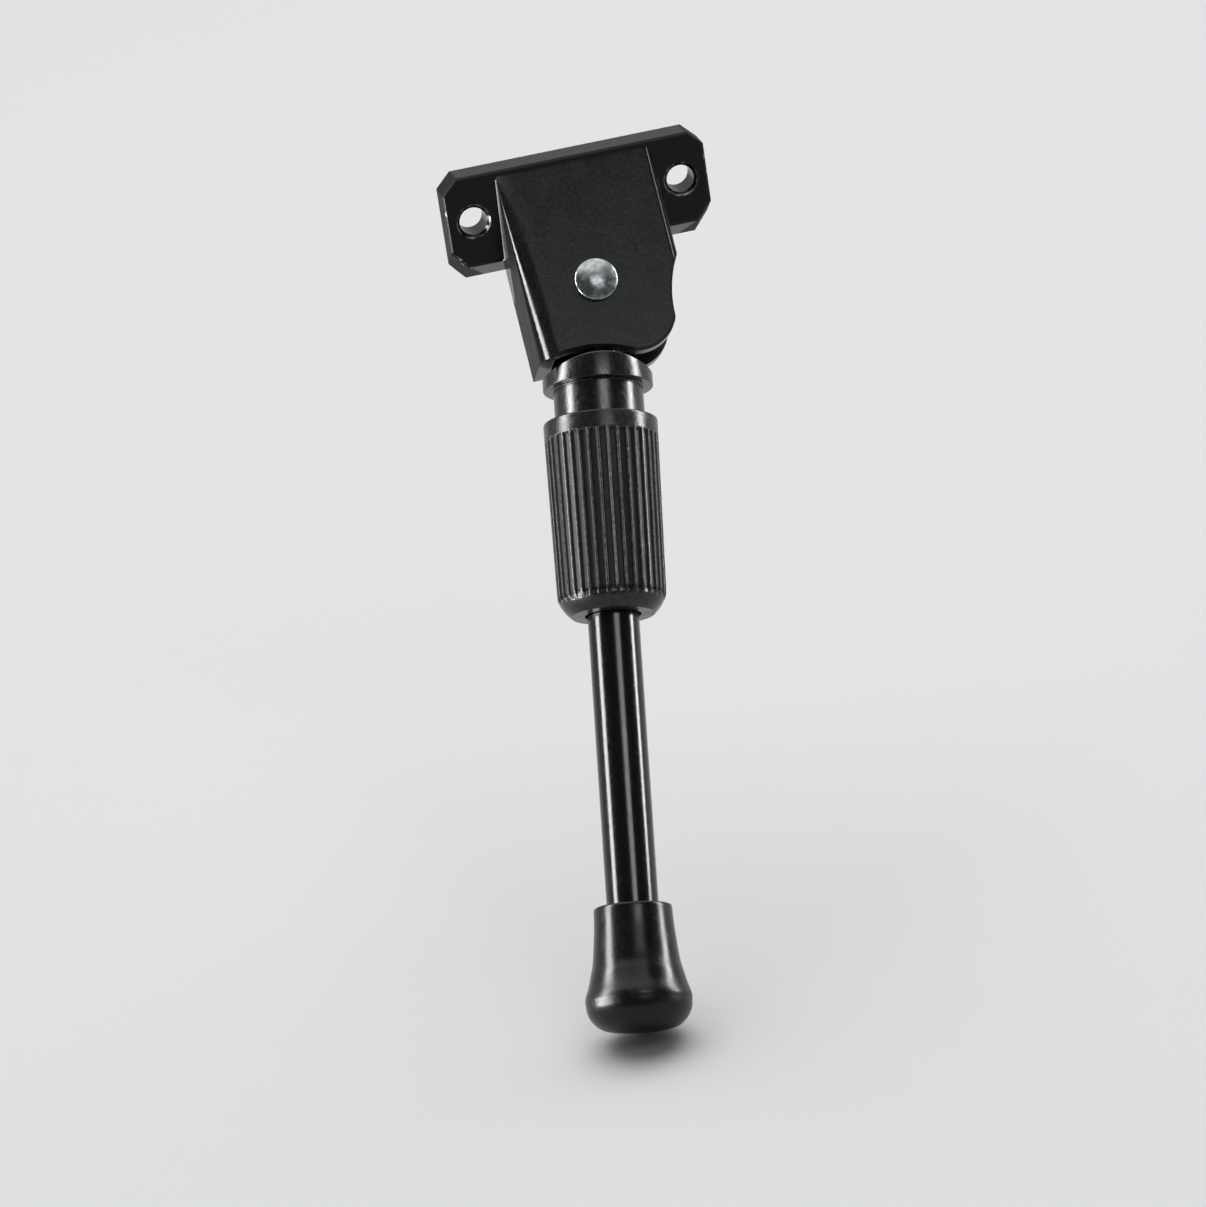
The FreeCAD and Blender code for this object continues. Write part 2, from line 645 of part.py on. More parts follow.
PIECES = {
    "front_shell": make_front_shell,
    "back_plate": make_back_plate,
    "pivot_rivet": lambda: lean(make_pivot_rivet()),
    "leg_rod": lambda: hang(make_leg_rod()),
    "cam_collar": lambda: hang(make_cam_collar()),
    "compression_spring": lambda: hang(make_compression_spring()),
    "spring_seat_washer": lambda: hang(make_spring_seat_washer()),
    "retaining_ring": lambda: hang(make_retaining_ring()),
    "grip_sleeve": lambda: hang(make_grip_sleeve()),
    "rubber_foot": lambda: hang(make_rubber_foot()),
}

os.makedirs("parts", exist_ok=True)
for name, make in PIECES.items():
    solid = make()
    solid.exportStep("parts/" + name + ".step")
    print(name, solid.ShapeType, len(solid.Solids), solid.isValid(), round(solid.Volume, 1))
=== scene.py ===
import json
import math

import bmesh
import bpy
from mathutils import Matrix, Vector


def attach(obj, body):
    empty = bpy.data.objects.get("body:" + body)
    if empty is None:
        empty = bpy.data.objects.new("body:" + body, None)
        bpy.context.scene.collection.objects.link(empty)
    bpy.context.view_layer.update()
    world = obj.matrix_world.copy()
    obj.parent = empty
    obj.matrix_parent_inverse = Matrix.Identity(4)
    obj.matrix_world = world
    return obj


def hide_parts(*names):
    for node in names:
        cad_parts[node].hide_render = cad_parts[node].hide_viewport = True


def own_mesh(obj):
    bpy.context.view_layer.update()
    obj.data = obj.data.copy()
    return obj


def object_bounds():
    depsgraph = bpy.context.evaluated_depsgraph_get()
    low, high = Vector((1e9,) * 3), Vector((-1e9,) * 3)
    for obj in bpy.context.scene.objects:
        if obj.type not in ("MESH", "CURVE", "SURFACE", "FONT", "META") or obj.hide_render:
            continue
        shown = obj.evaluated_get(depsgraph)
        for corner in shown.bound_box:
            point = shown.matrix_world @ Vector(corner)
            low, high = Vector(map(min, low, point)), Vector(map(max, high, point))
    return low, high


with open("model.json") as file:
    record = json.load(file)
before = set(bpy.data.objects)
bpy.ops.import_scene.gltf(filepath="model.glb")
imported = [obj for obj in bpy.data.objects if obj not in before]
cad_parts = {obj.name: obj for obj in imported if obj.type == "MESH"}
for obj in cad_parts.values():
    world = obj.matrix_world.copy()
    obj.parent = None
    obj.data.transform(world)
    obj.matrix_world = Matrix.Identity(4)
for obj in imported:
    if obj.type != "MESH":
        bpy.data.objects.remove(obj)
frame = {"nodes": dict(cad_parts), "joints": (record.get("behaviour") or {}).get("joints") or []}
CAD_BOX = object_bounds()

bl_info = {
    "name": "Scooter kickstand",
    "version": (1, 0, 0),
    "blender": (4, 5, 0),
    "location": "View3D > Sidebar > Kickstand",
    "description": "Dresses the packed kickstand with its finishes, its fine shapes and a studio stage",
    "category": "Add Mesh",
}

MM = 0.001
JOINTS = {joint["name"]: joint for joint in frame["joints"]}
PIVOT = Vector(JOINTS["leg_swing"]["pos_m"])
TO_BACK = -Vector(JOINTS["leg_swing"]["axis"]).normalized()
TO_FOOT = Vector(JOINTS["collar_slide"]["axis"]).normalized()
BRACKET_NODES = ("front_shell", "back_plate")


def axis_frame(down, back):
    """Matrix from millimetres in a turned piece's own frame, which hangs along -Z, to the row frame."""
    up = -down
    side = back.cross(up)
    turn = Matrix((side, back, up)).transposed().to_4x4()
    return Matrix.Translation(PIVOT) @ turn @ Matrix.Scale(MM, 4)


LEG_FRAME = axis_frame(TO_FOOT, TO_BACK)
RIVET_FRAME = axis_frame(TO_BACK, Vector((1, 0, 0)))

# Spots that the lights face, in metres
MIDDLE_DROP = 0.05
LEG_MIDDLE = PIVOT + TO_FOOT * MIDDLE_DROP
LEFT_CREASE = Vector((-0.022, -0.006, 0.0))

# Bands over which the bracket's coat changes, in metres of the row frame
EAR_FACE = (-0.0064, -0.0059)
CHIPPED_DEPTH = (-0.0054, -0.0046)
CHIPPED_HEIGHT = (-0.0155, -0.0145)
EAR_SIDE = (0.02590, 0.02635)
EAR_CORNER = (0.0321, 0.0326)
EAR_SLOPE = (0.02320, 0.02365)
SLOPE_ACROSS = 0.767
SLOPE_UP = 0.641
HOLE_OFFSET = 0.021
RIM_INSIDE = (0.00305, 0.0032)
RIM_OUTSIDE = (0.0034, 0.0036)
LEFT_WALL = (-0.01539, -0.01525)

# Outline of the sleeve in the leg's own frame, in millimetres, and mesh segments to each rib
SLEEVE_TOP = 26.5
SLEEVE_SHOULDER = 61.3
SLEEVE_END = 65.1
SLEEVE_TOP_RADIUS = 11.2
SLEEVE_SHOULDER_RADIUS = 10.6
SLEEVE_END_RADIUS = 8.1
GROOVE_START = 29.9
RIB_SEGMENTS = 24

# Bands over which the sleeve's and the foot's finish changes, in metres from the rib line or the pivot
RIB_SKIN = (-0.00030, -0.00006)
RIBS_BEGIN = (0.0298, 0.0302)
RIBS_END = (0.0613, 0.0618)
FOOT_RIM = (0.1360, 0.1400)

# Curved outline of the foot in the leg's own frame, as (radius, depth) pairs in millimetres
FOOT_FLARE = (
    (7.55, 122.8), (7.68, 126.0), (8.0, 129.5), (8.4, 133.0), (8.95, 135.3), (9.55, 137.6), (10.2, 139.7),
    (10.2, 141.0), (10.02, 142.3), (9.5, 143.5), (8.65, 144.6), (7.6, 145.4), (6.6, 145.75),
)

# Levels that most of a noise lies between
NOISE_LOW = 0.3
NOISE_HIGH = 0.7

# Colours of the lights and the room
WARM = (1.0, 0.99, 0.97)
PLAIN = (1.0, 1.0, 1.0)
COOL = (0.86, 0.94, 1.0)
ROOM_COLOUR = (0.96, 0.98, 1.0, 1)

# How far back a direction points where the room's dim front ends and where its pale wall is full
DIM_END = -0.2
PALE_START = 0.6

# Floor and camera
FLOOR_REACH = 4.0
AIM_RIGHT = 0.00625
AIM_UP = -0.08108
SENSOR_WIDTH = 36


# Mesh helpers


def softened(points, setbacks, steps=6):
    """Profile with some corners rounded off, each from its setback before it to as far after it."""
    result = []
    for index, point in enumerate(points):
        if index not in setbacks:
            result.append(tuple(point))
            continue
        corner = Vector(point)
        before = Vector(points[index - 1]) - corner
        after = Vector(points[(index + 1) % len(points)]) - corner
        start = corner + before.normalized() * setbacks[index]
        end = corner + after.normalized() * setbacks[index]
        for step in range(steps + 1):
            share = step / steps
            first = start * (1 - share) ** 2
            middle = corner * 2 * share * (1 - share)
            result.append(tuple(first + middle + end * share ** 2))
    return result


def smooth_run(points, steps):
    """Points of a smooth curve through the given points."""
    result = []
    for index in range(len(points) - 1):
        a = Vector(points[max(index - 1, 0)])
        b = Vector(points[index])
        c = Vector(points[index + 1])
        d = Vector(points[min(index + 2, len(points) - 1)])
        for step in range(steps):
            t = step / steps
            square = (a * 2 - b * 5 + c * 4 - d) * t ** 2
            cube = (b * 3 - a - c * 3 + d) * t ** 3
            spot = b * 2 + (c - a) * t + square + cube
            result.append(tuple(spot / 2))
    result.append(tuple(points[-1]))
    return result


def lathe(made, profile, segments, closed=False, shape=None):
    """Turn a profile of (radius, depth) pairs round the Z axis, into a mesh under construction."""
    rings = []
    for radius, depth in profile:
        if radius == 0:
            rings.append([made.verts.new((0, 0, -depth))])
            continue
        ring = []
        for step in range(segments):
            turn = 2 * math.pi * step / segments
            r, d = (radius, depth) if shape is None else shape(turn, radius, depth)
            ring.append(made.verts.new((r * math.cos(turn), r * math.sin(turn), -d)))
        rings.append(ring)
    pairs = list(zip(rings, rings[1:]))
    if closed:
        pairs.append((rings[-1], rings[0]))
    for upper, lower in pairs:
        for step in range(segments):
            after = (step + 1) % segments
            if len(upper) == 1:
                made.faces.new((upper[0], lower[step], lower[after]))
            elif len(lower) == 1:
                made.faces.new((upper[after], upper[step], lower[0]))
            else:
                made.faces.new((upper[after], upper[step], lower[step], lower[after]))


def finish_piece(made, name, place, body, nodes, material, sharp=40):
    """Turn a mesh under construction into a piece that stands for CAD nodes and rides on their body."""
    bmesh.ops.recalc_face_normals(made, faces=made.faces)
    made.transform(place)
    mesh = bpy.data.meshes.new(name)
    made.to_mesh(mesh)
    made.free()
    mesh.polygons.foreach_set("use_smooth", [True] * len(mesh.polygons))
    mesh.set_sharp_from_angle(angle=math.radians(sharp))
    mesh.materials.append(material)
    piece = bpy.data.objects.new(name, mesh)
    bpy.context.scene.collection.objects.link(piece)
    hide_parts(*nodes)
    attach(piece, body)
    return piece


def paint_node(node, material):
    """Give a CAD node its finish."""
    mesh = frame["nodes"][node].data
    mesh.materials.clear()
    mesh.materials.append(material)


# Material helpers


class Finish:
    """A new material and short ways to add its nodes."""

    def __init__(self, name):
        self.material = bpy.data.materials.new(name)
        self.material.use_nodes = True
        self.tree = self.material.node_tree
        self.shader = self.tree.nodes["Principled BSDF"]
        self.where = self.tree.nodes.new("ShaderNodeTexCoord").outputs["Object"]

    def set(self, **values):
        """Constant values on the shader's own sockets."""
        for name, value in values.items():
            self.shader.inputs[name.replace("_", " ")].default_value = value

    def link(self, output, socket):
        """A node's output on one of the shader's sockets."""
        self.tree.links.new(output, self.shader.inputs[socket])

    def noise(self, scale, detail=3.0, rough=0.5, where=None):
        """Noise over the surface, or over other coordinates."""
        node = self.tree.nodes.new("ShaderNodeTexNoise")
        node.inputs["Scale"].default_value = scale
        node.inputs["Detail"].default_value = detail
        node.inputs["Roughness"].default_value = rough
        self.tree.links.new(where or self.where, node.inputs["Vector"])
        return node.outputs["Fac"]

    def stretched(self, axis, along, across):
        """Coordinates scaled by one factor along an axis and another across it."""
        turn = axis.rotation_difference(Vector((0, 0, 1))).to_euler()
        node = self.tree.nodes.new("ShaderNodeMapping")
        node.vector_type = "POINT"
        node.inputs["Rotation"].default_value = turn
        node.inputs["Scale"].default_value = (across, across, along)
        self.tree.links.new(self.where, node.inputs["Vector"])
        return node.outputs["Vector"]

    def ramp(self, value, low, high, at_low=0.0, at_high=1.0):
        """Value mapped smoothly from one range to another and held outside it."""
        node = self.tree.nodes.new("ShaderNodeMapRange")
        node.interpolation_type = "SMOOTHSTEP"
        for name, number in (("From Min", low), ("From Max", high), ("To Min", at_low), ("To Max", at_high)):
            node.inputs[name].default_value = number
        self.tree.links.new(value, node.inputs["Value"])
        return node.outputs["Result"]

    def fade(self, value, low, high):
        """Mask that is full below a band of the value and empty above it."""
        return self.ramp(value, low, high, 1.0, 0.0)

    def grained(self, noise, smooth, dull):
        """Value that follows a noise from one end to the other."""
        return self.ramp(noise, NOISE_LOW, NOISE_HIGH, smooth, dull)

    def ramp_straight(self, value, low, high, at_low, at_high):
        """Value mapped in a straight line from one range to another, and on past it."""
        result = self.ramp(value, low, high, at_low, at_high)
        result.node.interpolation_type = "LINEAR"
        result.node.clamp = False
        return result

    def combine(self, operation, first, second=0.0):
        """Result of a sum on one or two values, each a number or another node's output."""
        node = self.tree.nodes.new("ShaderNodeMath")
        node.operation = operation
        for socket, value in zip(node.inputs, (first, second)):
            if isinstance(value, (int, float)):
                socket.default_value = value
            else:
                self.tree.links.new(value, socket)
        return node.outputs["Value"]

    def both(self, first, second):
        """Product of two values, or what two masks share."""
        return self.combine("MULTIPLY", first, second)

    def either(self, first, second):
        """Greater of two values, or what one of two masks covers."""
        return self.combine("MAXIMUM", first, second)

    def blend(self, share, first, second):
        """Colour between two colours, each a tuple or another node's output."""
        node = self.tree.nodes.new("ShaderNodeMix")
        node.data_type = "RGBA"
        self.tree.links.new(share, node.inputs["Factor"])
        for socket, value in ((node.inputs[6], first), (node.inputs[7], second)):
            if hasattr(value, "links"):
                self.tree.links.new(value, socket)
            else:
                socket.default_value = (*value[:3], 1)
        return node.outputs[2]

    def bump(self, height, strength, distance, under=None):
        """Normal that follows a height, over another normal if there is one."""
        node = self.tree.nodes.new("ShaderNodeBump")
        node.inputs["Strength"].default_value = strength
        node.inputs["Distance"].default_value = distance
        self.tree.links.new(height, node.inputs["Height"])
        if under is not None:
            self.tree.links.new(under, node.inputs["Normal"])
        return node.outputs["Normal"]

    def vector(self, operation, first, second=(0, 0, 0)):
        """Node for a sum on one or two vectors, each a vector or another node's output."""
        node = self.tree.nodes.new("ShaderNodeVectorMath")
        node.operation = operation
        for socket, value in zip(node.inputs, (first, second)):
            if hasattr(value, "links"):
                self.tree.links.new(value, socket)
            else:
                socket.default_value = value
        return node

    def along_leg(self):
        """Way down the leg from the pivot."""
        away = self.vector("SUBTRACT", self.where, PIVOT).outputs["Vector"]
        return self.vector("DOT_PRODUCT", away, TO_FOOT).outputs["Value"]

    def from_leg(self):
        """Distance from the leg's axis."""
        away = self.vector("SUBTRACT", self.where, PIVOT).outputs["Vector"]
        beside = self.vector("CROSS_PRODUCT", away, TO_FOOT).outputs["Vector"]
        return self.vector("LENGTH", beside).outputs["Value"]

    def place(self):
        """The row frame's X, Y and Z of a point on the surface."""
        node = self.tree.nodes.new("ShaderNodeSeparateXYZ")
        self.tree.links.new(self.where, node.inputs["Vector"])
        return node.outputs["X"], node.outputs["Y"], node.outputs["Z"]


def lighter(colour, factor):
    """Colour times a factor, darker below one."""
    return tuple(channel * factor for channel in colour)


# Sizes and colours


class KickstandFinishes(bpy.types.PropertyGroup):
    """Colours of the kickstand's pieces."""

    bracket_paint: bpy.props.FloatVectorProperty(
        name="Bracket paint", description="Satin black coat of the pressed bracket",
        subtype="COLOR", size=3, min=0, max=1, default=(0.0150, 0.0154, 0.0160))
    bare_steel: bpy.props.FloatVectorProperty(
        name="Bare steel", description="Steel that shows where the coat has chipped",
        subtype="COLOR", size=3, min=0, max=1, default=(0.32, 0.31, 0.30))
    leg_paint: bpy.props.FloatVectorProperty(
        name="Leg paint", description="Gloss black coat of the rod and the collar",
        subtype="COLOR", size=3, min=0, max=1, default=(0.0040, 0.0040, 0.0046))
    zinc: bpy.props.FloatVectorProperty(
        name="Zinc plating", description="Plating of the rivet and the washer",
        subtype="COLOR", size=3, min=0, max=1, default=(0.31, 0.335, 0.335))
    spring_steel: bpy.props.FloatVectorProperty(
        name="Spring steel", description="Oiled wire of the spring and the ring",
        subtype="COLOR", size=3, min=0, max=1, default=(0.30, 0.29, 0.28))
    sleeve_plastic: bpy.props.FloatVectorProperty(
        name="Sleeve plastic", description="Dark grey plastic of the grip sleeve",
        subtype="COLOR", size=3, min=0, max=1, default=(0.0130, 0.0130, 0.0135))
    foot_rubber: bpy.props.FloatVectorProperty(
        name="Foot rubber", description="Black rubber of the foot",
        subtype="COLOR", size=3, min=0, max=1, default=(0.0032, 0.0032, 0.0034))


class KickstandSizes(bpy.types.PropertyGroup):
    """Sizes of the fine shapes, in the leg's own frame."""

    groove_count: bpy.props.IntProperty(
        name="Grooves", description="Long grooves round the grip sleeve", min=12, max=60, default=36)
    groove_depth: bpy.props.FloatProperty(
        name="Groove depth", description="Depth of the sleeve's grooves",
        subtype="DISTANCE", unit="LENGTH", min=0, default=0.00055)
    edge_round: bpy.props.FloatProperty(
        name="Edge round", description="Rounding of the collar's edges",
        subtype="DISTANCE", unit="LENGTH", min=0, default=0.0003)


class KickstandStage(bpy.types.PropertyGroup):
    """Floor, light and camera."""

    floor_colour: bpy.props.FloatVectorProperty(
        name="Floor colour", description="Plain pale floor",
        subtype="COLOR", size=3, min=0, max=1, default=(0.80, 0.80, 0.81))
    room_light: bpy.props.FloatProperty(
        name="Room light", description="Strength of the light from the pale wall behind",
        min=0, default=0.60)
    room_shade: bpy.props.FloatProperty(
        name="Room shade", description="Strength of the light from the dim front of the room",
        min=0, default=0.10)
    lens: bpy.props.FloatProperty(
        name="Lens", description="Focal length of the camera",
        subtype="DISTANCE_CAMERA", unit="CAMERA", min=1, default=161.22)
    azimuth: bpy.props.FloatProperty(
        name="Azimuth", description="Camera's turn round the part", subtype="ANGLE", unit="ROTATION",
        default=math.radians(-9.351))
    elevation: bpy.props.FloatProperty(
        name="Elevation", description="Camera's height angle", subtype="ANGLE", unit="ROTATION",
        default=math.radians(21.766))
    roll: bpy.props.FloatProperty(
        name="Roll", description="Camera's turn round its own axis", subtype="ANGLE", unit="ROTATION",
        default=math.radians(-8.802))
    distance: bpy.props.FloatProperty(
        name="Distance", description="Camera's distance from its aim",
        subtype="DISTANCE", unit="LENGTH", default=1.06488)


# Finishes


def ear_edges(coat, wide, z):
    """Mask of the ears' outer edges: their sides, top corners and sloping lower corners."""
    side = coat.ramp(wide, *EAR_SIDE)
    corner = coat.ramp(coat.combine("ADD", wide, z), *EAR_CORNER)
    reach = coat.combine("SUBTRACT", coat.both(wide, SLOPE_ACROSS), coat.both(z, SLOPE_UP))
    slope = coat.ramp(reach, *EAR_SLOPE)
    return coat.either(coat.either(side, corner), slope)


def hole_rims(coat, wide, z):
    """Mask of a narrow ring round each bolt hole."""
    beside = coat.combine("SUBTRACT", wide, HOLE_OFFSET)
    square = coat.combine("ADD", coat.both(beside, beside), coat.both(z, z))
    ring = coat.combine("SQRT", square)
    return coat.both(coat.ramp(ring, *RIM_INSIDE), coat.fade(ring, *RIM_OUTSIDE))


def bracket_finish(finishes):
    """Black coat with a fine orange peel, the ears painted darker than the plate as painted shade, and chips
    along the ears' edges.
    """
    paint = finishes.bracket_paint
    coat = Finish("bracket_coat")
    x, y, z = coat.place()
    wide = coat.combine("ABSOLUTE", x)
    on_ear = coat.ramp(y, *EAR_FACE)
    edge = ear_edges(coat, wide, z)
    rim = hole_rims(coat, wide, z)
    specks = coat.ramp(coat.noise(scale=900, detail=4, rough=0.65), low=0.53, high=0.61)
    patches = coat.ramp(coat.noise(scale=160, detail=2, rough=0.5), low=0.43, high=0.55)
    chips = coat.both(coat.both(edge, specks), patches)
    rubbed = coat.ramp(coat.noise(scale=420, detail=3, rough=0.6), low=0.42, high=0.58)
    rim_wear = 0.7
    worn = coat.either(chips, coat.both(coat.both(rim, rubbed), rim_wear))
    near_front = coat.both(on_ear, coat.fade(y, *CHIPPED_DEPTH))
    bare = coat.both(worn, coat.both(near_front, coat.ramp(z, *CHIPPED_HEIGHT)))
    sand = coat.grained(coat.noise(scale=2400, detail=3, rough=0.7), 0.0, 1.0)
    grain = coat.blend(sand, lighter(paint, 0.4), lighter(paint, 1.7))
    # Ears painted darker than the plate: painted shade standing in for the darker reflection their faces
    # catch.
    shade = coat.blend(on_ear, grain, lighter(paint, 0.25))
    coat.link(coat.blend(bare, shade, finishes.bare_steel), "Base Color")
    on_wall = coat.both(coat.fade(y, *EAR_FACE), coat.fade(x, *LEFT_WALL))
    cut_edge = coat.both(on_ear, edge)
    dullness = 0.38
    dull = coat.both(coat.either(on_wall, cut_edge), dullness)
    smooth = coat.grained(coat.noise(scale=220, detail=4, rough=0.6), smooth=0.14, dull=0.22)
    coat.link(coat.combine("ADD", smooth, dull), "Roughness")
    bare_metal = 0.9
    coat.link(coat.both(bare, bare_metal), "Metallic")
    peel = coat.bump(coat.noise(scale=900, detail=2, rough=0.5), strength=0.04, distance=0.0003)
    coat.link(coat.bump(bare, strength=0.3, distance=-0.00005, under=peel), "Normal")
    coat.set(Specular_IOR_Level=0.15)
    return coat.material


def gloss_finish(name, colour, smooth, dull, shine):
    """Gloss black coat with faint draw lines along the leg and a few dust specks."""
    coat = Finish(name)
    drawn = coat.stretched(TO_FOOT, along=25, across=1500)
    lines = coat.noise(scale=1.0, detail=3, rough=0.5, where=drawn)
    dust = coat.ramp(coat.noise(scale=420, detail=2, rough=0.5), low=0.76, high=0.80)
    cloud = coat.noise(scale=150, detail=3, rough=0.5)
    shade = coat.blend(cloud, lighter(colour, 0.7), lighter(colour, 1.4))
    coat.link(coat.blend(dust, shade, lighter(colour, 8)), "Base Color")
    dust_dullness = 0.25
    rough = coat.combine("ADD", coat.grained(lines, smooth, dull), coat.both(dust, dust_dullness))
    coat.link(rough, "Roughness")
    waves = coat.noise(scale=700, detail=2, rough=0.5)
    coat.link(coat.bump(waves, strength=0.05, distance=0.0002), "Normal")
    coat.set(Specular_IOR_Level=shine)
    return coat.material


def zinc_finish(name, colour, smooth):
    """Bright metal with a mottled, lightly hammered surface."""
    plate = Finish(name)
    mottle = plate.ramp(plate.noise(scale=800, detail=4, rough=0.6), low=0.35, high=0.65)
    plate.link(plate.blend(mottle, lighter(colour, 0.6), colour), "Base Color")
    spread = 0.16
    haze = plate.noise(scale=500, detail=3, rough=0.6)
    plate.link(plate.grained(haze, smooth, smooth + spread), "Roughness")
    dents = plate.noise(scale=900, detail=3, rough=0.5)
    plate.link(plate.bump(dents, strength=0.12, distance=0.0003), "Normal")
    plate.set(Metallic=1.0)
    return plate.material


def sleeve_finish(finishes):
    """Moulded plastic with a fine grain; ribs painted pale, partly rubbed wear and partly painted highlight,
    and grooves painted dark as painted shade.
    """
    colour = finishes.sleeve_plastic
    plastic = Finish("sleeve_plastic")
    along = plastic.along_leg()
    rib_line = plastic.ramp_straight(
        along, SLEEVE_TOP * MM, SLEEVE_SHOULDER * MM, SLEEVE_TOP_RADIUS * MM, SLEEVE_SHOULDER_RADIUS * MM)
    on_rib = plastic.ramp(plastic.combine("SUBTRACT", plastic.from_leg(), rib_line), *RIB_SKIN)
    ribbed = plastic.both(plastic.ramp(along, *RIBS_BEGIN), plastic.fade(along, *RIBS_END))
    rubbed = plastic.ramp(plastic.noise(scale=1100, detail=4, rough=0.7), low=0.35, high=0.65)
    plain = plastic.blend(rubbed, lighter(colour, 0.7), lighter(colour, 1.9))
    # Ribs painted pale: partly rubbed wear, partly painted highlight where the lamps catch their edges.
    rib = plastic.blend(rubbed, lighter(colour, 2.0), lighter(colour, 7.0))
    # Grooves painted dark: painted shade in the recesses between the ribs.
    groove_painted_shade = lighter(colour, 0.25)
    plastic.link(plastic.blend(ribbed, plain, plastic.blend(on_rib, groove_painted_shade, rib)), "Base Color")
    in_groove = plastic.both(ribbed, plastic.fade(on_rib, 0.0, 1.0))
    groove_dullness = 0.3
    grain = plastic.grained(plastic.noise(scale=400, detail=3, rough=0.6), smooth=0.20, dull=0.30)
    plastic.link(plastic.combine("ADD", grain, plastic.both(in_groove, groove_dullness)), "Roughness")
    pores = plastic.noise(scale=3200, detail=3, rough=0.7)
    plastic.link(plastic.bump(pores, strength=0.20, distance=0.0001), "Normal")
    plastic.set(Specular_IOR_Level=0.34)
    return plastic.material


def rubber_finish(finishes):
    """Moulded rubber, semi-gloss, with faint scuffs and a duller rim."""
    colour = finishes.foot_rubber
    rubber = Finish("foot_rubber")
    drawn = rubber.stretched(TO_FOOT, along=160, across=700)
    scuffs = rubber.ramp(rubber.noise(scale=1.0, detail=4, rough=0.6, where=drawn), low=0.58, high=0.74)
    cloud = rubber.noise(scale=110, detail=3, rough=0.5)
    shade = rubber.blend(cloud, lighter(colour, 0.75), lighter(colour, 1.25))
    rubber.link(rubber.blend(scuffs, shade, lighter(colour, 2.2)), "Base Color")
    worn_rim = rubber.ramp(rubber.along_leg(), *FOOT_RIM, at_low=0.0, at_high=0.07)
    scuff_dullness = 0.10
    worn = rubber.combine("ADD", worn_rim, rubber.both(scuffs, scuff_dullness))
    grain = rubber.grained(rubber.noise(scale=300, detail=3, rough=0.6), smooth=0.20, dull=0.27)
    rubber.link(rubber.combine("ADD", grain, worn), "Roughness")
    pores = rubber.noise(scale=1500, detail=3, rough=0.6)
    rubber.link(rubber.bump(pores, strength=0.10, distance=0.0002), "Normal")
    rubber.set(Specular_IOR_Level=0.27)
    return rubber.material


# Shape of the sleeve


def ridge(depth):
    """Radius of the sleeve's ribs at a depth."""
    taper = (SLEEVE_TOP_RADIUS - SLEEVE_SHOULDER_RADIUS) / (SLEEVE_SHOULDER - SLEEVE_TOP)
    return SLEEVE_TOP_RADIUS - taper * (depth - SLEEVE_TOP)


def sleeve_profile():
    """Outline of the sleeve: rim, ribbed side, rounded end and the hollow inside."""
    pocket, mouth, bore = 9.0, 5.5, 5.05
    mouth_top, floor_top = 64.1, 62.7
    rim_gap, inner_round, outer_round, rim_steps = 0.1, 0.25, 0.5, 7
    rim_end = GROOVE_START - rim_gap
    rim_corners = [(pocket, SLEEVE_TOP), (SLEEVE_TOP_RADIUS, SLEEVE_TOP), (ridge(rim_end), rim_end)]
    rim = softened(rim_corners, {0: inner_round, 1: outer_round}, rim_steps)
    rim.append((ridge(GROOVE_START), GROOVE_START))
    run_in, run_in_steps = 0.15, 8
    near_start = [GROOVE_START + run_in * step for step in range(1, run_in_steps + 1)]
    middle_start, middle_end, middle_steps = 32.0, 60.0, 10
    spacing = middle_end - middle_start
    middle = [middle_start + spacing * step / middle_steps for step in range(middle_steps + 1)]
    side = [(ridge(depth), depth) for depth in near_start + middle]
    ribs_end, bulge = 60.4, (9.93, 63.58)
    shoulder_round, end_round, end_steps = 0.7, 2.4, 12
    end_corners = [
        (ridge(ribs_end), ribs_end), (ridge(SLEEVE_SHOULDER), SLEEVE_SHOULDER), bulge,
        (SLEEVE_END_RADIUS, SLEEVE_END)]
    rounding = softened(end_corners, {1: shoulder_round, 2: end_round}, end_steps)
    inside = [
        (mouth, SLEEVE_END), (mouth, mouth_top), (bore, mouth_top), (bore, floor_top),
        (pocket, floor_top)]
    return rim + side + rounding + inside


def grooves(count, full_depth):
    """Shape that sinks long grooves with rounded shoulders into the sleeve's outside."""
    outside, rib_edge, flank_width, run_in = 9.5, 0.82, 0.30, 0.6

    def grooved(turn, radius, depth):
        if radius < outside or depth < GROOVE_START:
            return radius, depth
        phase = abs((turn * count / (2 * math.pi)) % 1 - 0.5) * 2
        flank = min(1.0, max(0.0, (rib_edge - phase) / flank_width))
        begin = min(1.0, (depth - GROOVE_START) / run_in)
        sunk = full_depth * flank * flank * (3 - 2 * flank) * begin
        return min(radius, ridge(depth) - sunk), depth

    return grooved


# Operators


class KICKSTAND_OT_bracket(bpy.types.Operator):
    """Coat the pressed shell and the back plate"""

    bl_idname = "kickstand.bracket"
    bl_label = "Coat the bracket"

    def execute(self, context):
        coat = bracket_finish(context.scene.kickstand_finishes)
        for node in BRACKET_NODES:
            paint_node(node, coat)
        return {"FINISHED"}


